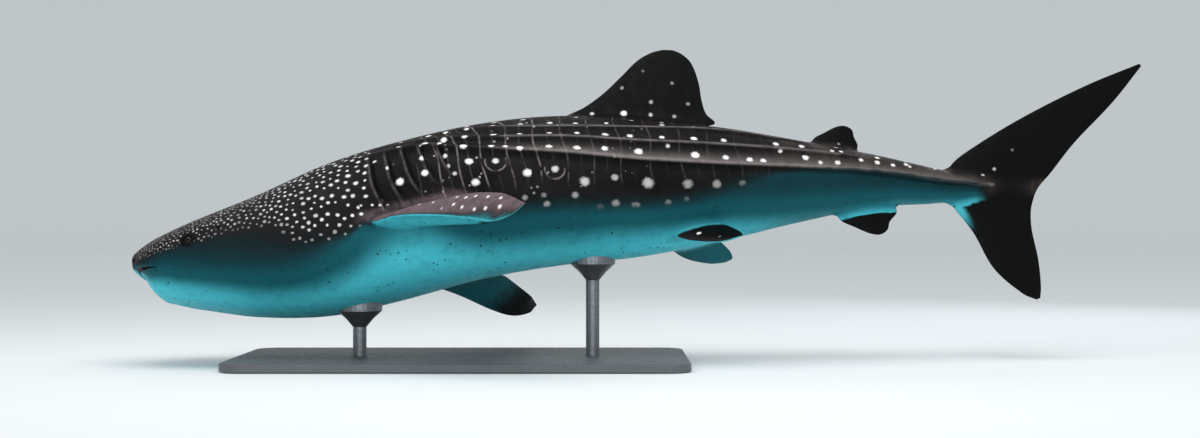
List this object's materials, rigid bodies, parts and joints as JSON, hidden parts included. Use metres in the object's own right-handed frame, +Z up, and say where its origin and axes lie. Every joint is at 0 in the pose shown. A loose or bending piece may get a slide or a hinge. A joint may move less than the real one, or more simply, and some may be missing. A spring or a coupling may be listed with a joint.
{
  "type": "whale shark on display stand",
  "caption": "Life-size whale shark swimming slightly head down and banked, with ridged flanks, on a flat base with short rods.",
  "frame": {"origin": "centre of the whole part's box in X and Y, at the underside of the stand's base", "axes": "+X from the snout towards the tail, -Y on the shark's left side, +Z up"},
  "size_m": [6.959, 2.9282, 2.126],
  "materials": {
    "skin": "dark grey-brown skin with pale spots and bars, satin",
    "belly": null,
    "fin": "near-black skin with small pale spots, satin",
    "eye": "wet, dark",
    "stand": "satin grey paint"
  },
  "bodies": {
    "root": {"head": "skin", "lower_jaw": "belly", "gill_section": "skin", "torso": "skin", "rear_trunk": "skin", "tail_stem": "skin", "dorsal_fin_first": "fin", "dorsal_fin_second": "fin", "anal_fin": "fin", "caudal_lobe_upper": "fin", "caudal_lobe_lower": "fin", "pectoral_fin_left": "fin", "pectoral_fin_right": "fin", "pelvic_fin_left": "fin", "pelvic_fin_right": "fin", "eye_left": "eye", "eye_right": "eye", "stand_base": "stand", "stand_rod_front": "stand", "stand_rod_rear": "stand"}
  },
  "joints": []
}
